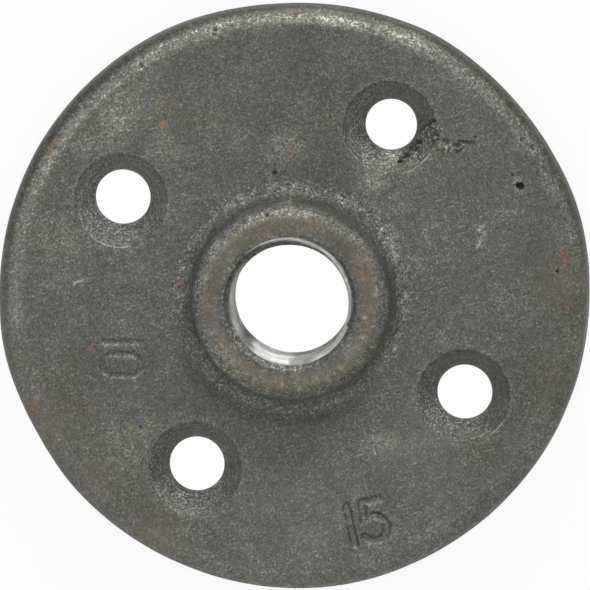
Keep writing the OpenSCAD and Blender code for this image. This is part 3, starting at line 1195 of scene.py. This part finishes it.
def makeSkin():
    material, tree, shader, coords = startMaterial("castIronSkin")
    value = surfaceNoise(tree, coords, skinFinish["grain"])
    wearAndSheen, scuffAndGlint, dark = reading(tree, "wearAndSheen"), reading(tree, "scuffAndGlint"), reading(tree, "dark")
    brown, even, cut = reading(tree, "brown"), reading(tree, "even"), reading(tree, "cut")
    colour = curve(tree, value, skinFinish["specks"])
    for tint, layer in (("even", even), ("olive", brown)):
        share = combine(tree, "MULTIPLY", layer, skinFinish[tint + "Share"])
        colour = blendColour(tree, share, colour, skinFinish[tint])
    patches = grain(tree, coords, *skinFinish["patches"])
    patches = combine(tree, "MULTIPLY_ADD", patches, *skinFinish["patchCurve"])
    patches = combine(tree, "MULTIPLY", brown, clamped(tree, patches, 0, 1))
    contrast = combine(tree, "MULTIPLY_ADD", even, skinFinish["flecksLess"], skinFinish["flecks"])
    flecks = combine(tree, "MULTIPLY_ADD", combine(tree, "SUBTRACT", value, grainMiddle), contrast, 1.0)
    flecks = combine(tree, "MULTIPLY", scuffAndGlint, combine(tree, "MAXIMUM", flecks, 0))
    # wear with painted highlights and scuffs with painted glints brighten, painted shade darkens
    for tint, share in (("brown", patches), ("wearAndSheen", wearAndSheen), ("scuffAndGlint", flecks), ("dark", dark)):
        colour = blendColour(tree, share, colour, skinFinish[tint], "MULTIPLY")
    for rust in ("rust", "ochre"):
        layer = reading(tree, rust)
        rusted = addGrain(tree, layer, value, skinFinish["rustGrain"])
        there = combine(tree, "GREATER_THAN", layer, skinFinish["rustFrom"])
        rusted = combine(tree, "MULTIPLY", there, rusted)
        rusted = combine(tree, "MULTIPLY_ADD", rusted, *skinFinish["rustCurve"])
        colour = blendColour(tree, clamped(tree, rusted, 0, skinFinish["rustMost"]), colour, skinFinish[rust])
    # near-white cut metal and painted highlight lines
    colour = blendColour(tree, cut, colour, skinFinish["cut"])
    tree.links.new(colour, shader.inputs["Base Color"])
    bare = combine(tree, "MULTIPLY_ADD", value, *skinFinish["bareCurve"])
    bare = clamped(tree, combine(tree, "MULTIPLY_ADD", wearAndSheen, skinFinish["bareWearAndSheen"], bare), 0, 1)
    rubAndSheen = combine(tree, "MULTIPLY_ADD", wearAndSheen, skinFinish["metalWearAndSheen"], skinFinish["metal"])
    rubAndSheen = combine(tree, "MULTIPLY_ADD", scuffAndGlint, skinFinish["metalScuffAndGlint"], rubAndSheen)
    tree.links.new(combine(tree, "MULTIPLY", bare, rubAndSheen), shader.inputs["Metallic"])
    rough = combine(tree, "MULTIPLY_ADD", value, *skinFinish["roughCurve"])
    rough = combine(tree, "MULTIPLY_ADD", wearAndSheen, skinFinish["roughWearAndSheen"], rough)
    tree.links.new(rough, shader.inputs["Roughness"])
    shader.inputs["Specular IOR Level"].default_value = skinFinish["specular"]
    withBump(tree, shader, value)
    return material


sinkFinish = {
    "grain": (0.3, 0.2), "rings": (3200, 3, 0.6), "ringStretch": (0.14, 0.14, 1.4), "ringShare": 0.32,
    "plain": [(0.25, (0.056, 0.057, 0.047)), (0.5, (0.108, 0.11, 0.094)), (0.78, (0.34, 0.34, 0.306))],
    # the second ramp gives a brighter, more contrasty painted sheen where the walls face the light; the tints
    # below brighten that sheen and the glints and darken the painted shade
    "rubAndSheen": [(0.25, (0.01, 0.01, 0.009)), (0.5, (0.093, 0.094, 0.086)), (0.78, (0.58, 0.58, 0.55))],
    "wearAndSheen": (1.75, 1.73, 1.8), "scuffAndGlint": (2.2, 2.2, 2.15), "dark": (0.25, 0.25, 0.18),
    "metal": 0.0, "roughness": 0.5, "specular": 0.15,
}


def makeSink():  # marks of the cutter run around the hole
    material, tree, shader, coords = startMaterial("countersinkIron")
    rings = grain(tree, stretched(tree, coords, sinkFinish["ringStretch"]), *sinkFinish["rings"])
    value = surfaceNoise(tree, coords, sinkFinish["grain"])
    value = addGrain(tree, value, rings, sinkFinish["ringShare"])
    plain, rubAndSheen = curve(tree, value, sinkFinish["plain"]), curve(tree, value, sinkFinish["rubAndSheen"])
    # walls that face the light take the painted sheen, the others the painted shade
    colour = blendColour(tree, reading(tree, "wearAndSheen"), plain, rubAndSheen)
    for layer in ("wearAndSheen", "scuffAndGlint", "dark"):
        colour = blendColour(tree, reading(tree, layer), colour, sinkFinish[layer], "MULTIPLY")
    tree.links.new(colour, shader.inputs["Base Color"])
    shader.inputs["Metallic"].default_value = sinkFinish["metal"]
    shader.inputs["Roughness"].default_value = sinkFinish["roughness"]
    shader.inputs["Specular IOR Level"].default_value = sinkFinish["specular"]
    withBump(tree, shader, value)
    return material


threadFinish = {
    "streaks": (2600, 2), "streakStretch": (0.12, 0.12, 1.2), "fine": (1900, 2, 0.6), "fineShare": 0.6,
    # the dark tint is painted shade over the bright cut metal
    "colours": [(0.3, (0.47, 0.465, 0.45)), (0.7, (0.85, 0.845, 0.83))], "dark": (0.3, 0.29, 0.27),
    "metal": 0.85, "metalDark": -0.65, "metalLeast": 0.1, "roughness": 0.42, "edgeTint": (0.6, 0.6, 0.6, 1),
}


def makeThread():
    material, tree, shader, coords = startMaterial("cutThread")
    streaks = grain(tree, stretched(tree, coords, threadFinish["streakStretch"]), *threadFinish["streaks"])
    streaks = addGrain(tree, streaks, grain(tree, coords, *threadFinish["fine"]), threadFinish["fineShare"])
    dark = reading(tree, "dark")
    colour = curve(tree, streaks, threadFinish["colours"])
    # painted shade
    colour = blendColour(tree, dark, colour, threadFinish["dark"], "MULTIPLY")
    tree.links.new(colour, shader.inputs["Base Color"])
    metal = combine(tree, "MULTIPLY_ADD", dark, threadFinish["metalDark"], threadFinish["metal"])
    metal = combine(tree, "MAXIMUM", metal, threadFinish["metalLeast"])
    tree.links.new(metal, shader.inputs["Metallic"])
    shader.inputs["Roughness"].default_value = threadFinish["roughness"]
    shader.inputs["Specular Tint"].default_value = threadFinish["edgeTint"]
    return material


for material in (makeSkin(), makeSink(), makeThread()):  # in the order of finishes
    castData.materials.append(material)
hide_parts("floor_flange")
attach(casting, "root")
print("materials set")

# floor and light

studio = {
    "floorSize": 3.0, "floorDrop": 0.0002, "floorColour": (0.85, 0.85, 0.85),
    "white": 1.0, "whiteShare": 0.9, "whiteUnder": 0.036,  # all white inside this radius, under the holes
    "horizon": 0.12, "zenith": 0.6,
    "overhead": {"lean": 14, "swing": 0, "distance": 1.2, "size": 1.3, "power": 7.0},
    "key": {"lean": 69, "swing": -3, "distance": 1.1, "size": 0.42, "wide": 1.3, "power": 8.0},
    "fill": {"lean": 55, "swing": 180, "distance": 1.5, "size": 1.6, "power": 3.0},
}
floorMesh = bpy.data.meshes.new("floor")
floorDraft = bmesh.new()
bmesh.ops.create_grid(floorDraft, x_segments=1, y_segments=1, size=studio["floorSize"])
floorDraft.to_mesh(floorMesh)
floorDraft.free()
floorMesh.transform(Matrix.Translation((0, 0, -studio["floorDrop"])))
floor = bpy.data.objects.new("floor", floorMesh)
bpy.context.scene.collection.objects.link(floor)


def whiteForView(tree, plain, output):  # white to the camera and in reflections, plain to the light
    rays = addNode(tree, "LightPath")
    seen = combine(tree, "MAXIMUM", rays.outputs["Is Camera Ray"], rays.outputs["Is Glossy Ray"])
    seen = combine(tree, "MAXIMUM", seen, rays.outputs["Is Transmission Ray"])
    middle = addNode(tree, "VectorMath", {"operation": "LENGTH"})
    tree.links.new(addNode(tree, "TexCoord").outputs["Object"], middle.inputs[0])
    under = combine(tree, "LESS_THAN", middle.outputs["Value"], studio["whiteUnder"])
    seen = combine(tree, "MULTIPLY", seen, combine(tree, "MAXIMUM", under, studio["whiteShare"]))
    glow = addNode(tree, "Emission", Strength=studio["white"])
    mix = addNode(tree, "MixShader")
    tree.links.new(seen, mix.inputs[0])
    tree.links.new(plain, mix.inputs[1])
    tree.links.new(glow.outputs[0], mix.inputs[2])
    tree.links.new(mix.outputs[0], output.inputs["Surface"])


paper = bpy.data.materials.new("whitePaper")
paper.use_nodes = True
paper.node_tree.nodes.clear()
matt = addNode(paper.node_tree, "BsdfDiffuse", Color=(*studio["floorColour"], 1))
whiteForView(paper.node_tree, matt.outputs[0], addNode(paper.node_tree, "OutputMaterial"))
floorMesh.materials.append(paper)

world = bpy.data.worlds.new("studio")
bpy.context.scene.world = world
world.use_nodes = True
sky = world.node_tree
upwards = addNode(sky, "SeparateXYZ")
sky.links.new(addNode(sky, "TexCoord").outputs["Generated"], upwards.inputs[0])
height = combine(sky, "MAXIMUM", upwards.outputs["Z"], 0.0)
shade = combine(sky, "MULTIPLY_ADD", height, studio["zenith"] - studio["horizon"], studio["horizon"])
sky.links.new(shade, sky.nodes["Background"].inputs["Strength"])
sky.nodes["Background"].inputs["Color"].default_value = (1, 1, 1, 1)


def softbox(name, setup):
    lampData = bpy.data.lights.new(name, "AREA")
    lampData.shape = "RECTANGLE"
    lampData.size, lampData.size_y = setup.get("wide", setup["size"]), setup["size"]
    lampData.energy = setup["power"]
    lamp = bpy.data.objects.new(name, lampData)
    lean, swing = radians(setup["lean"]), radians(setup["swing"])
    side = pictureUp * cos(swing) - pictureRight * sin(swing)
    direction = side * sin(lean) + Vector((0, 0, cos(lean)))
    lamp.location = direction * setup["distance"]
    across = Vector((0, 0, 1)).cross(direction).normalized()
    lamp.rotation_euler = Matrix((across, direction.cross(across), direction)).transposed().to_euler()
    lamp.visible_camera = False
    bpy.context.scene.collection.objects.link(lamp)


softbox("overheadLamp", studio["overhead"])
softbox("keyLamp", studio["key"])
softbox("fillLamp", studio["fill"])
bpy.context.scene.view_settings.view_transform = "Standard"
print("studio lit")
